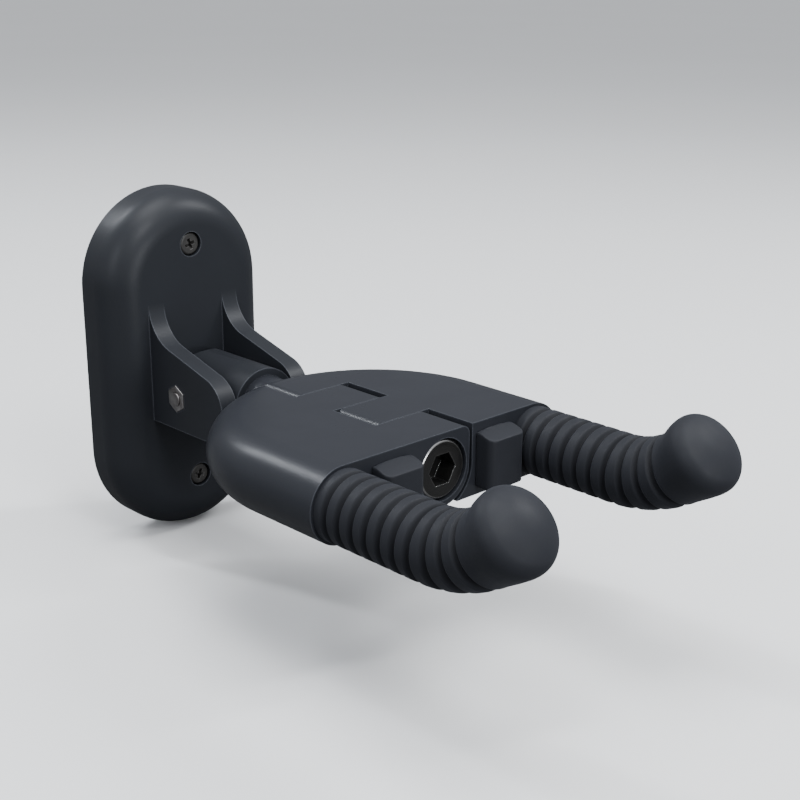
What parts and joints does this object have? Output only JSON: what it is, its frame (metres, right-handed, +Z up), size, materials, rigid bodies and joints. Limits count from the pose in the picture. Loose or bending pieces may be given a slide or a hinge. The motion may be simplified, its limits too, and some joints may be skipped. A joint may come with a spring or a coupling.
{
  "type": "wall guitar hanger",
  "caption": "Folding wall hanger for a guitar, with a screwed wall plate, a tilting barrel and a split yoke whose two halves each carry a ribbed rubber arm.",
  "frame": {"origin": "the middle of the wall plate's back face, at the height of the hinge and of the clamp bolt", "axes": "+X to the right as one faces the wall, +Y into the wall, +Z up; the arms reach out along -Y"},
  "size_m": [0.0871, 0.211, 0.1038],
  "materials": {
    "moulded": "fine satin texture",
    "yoke": "satin, slightly lighter than the plate",
    "rubber": "matte, slightly bluish grey",
    "bright_steel": "zinc plated",
    "dark_steel": "black oxide",
    "core_steel": "plain drawn rod"
  },
  "bodies": {
    "wall": {"wall_plate": "moulded", "wall_screws": "dark_steel", "pivot_bolt": "bright_steel", "pivot_nut": "bright_steel", "left_friction_washer": "bright_steel", "right_friction_washer": "bright_steel"},
    "barrel": {"tilt_barrel": "moulded", "pivot_bush": "bright_steel", "threaded_insert": "bright_steel", "thrust_washer": "bright_steel", "clamp_bolt": "dark_steel", "clamp_washer": "bright_steel", "spring_washer": "dark_steel"},
    "left_half": {"left_yoke_half": "yoke", "left_arm_core": "core_steel", "left_arm_pin": "dark_steel", "left_grip_sleeve": "rubber", "left_bumper": "rubber"},
    "right_half": {"right_yoke_half": "yoke", "right_arm_core": "core_steel", "right_arm_pin": "dark_steel", "right_grip_sleeve": "rubber", "right_bumper": "rubber"}
  },
  "joints": [
    {"name": "yoke_tilt", "type": "hinge", "parent": "wall", "child": "barrel", "pos_m": [0, -0.028, 0], "axis": [-1, 0, 0], "range_deg": [0, 90]},
    {"name": "right_swing", "type": "hinge", "parent": "barrel", "child": "right_half", "pos_m": [0, -0.09, 0], "axis": [0, -1, 0], "range_deg": [-12, 3]},
    {"name": "left_swing", "type": "hinge", "parent": "barrel", "child": "left_half", "pos_m": [0, -0.09, 0], "axis": [0, 1, 0], "range_deg": [-12, 3]}
  ]
}
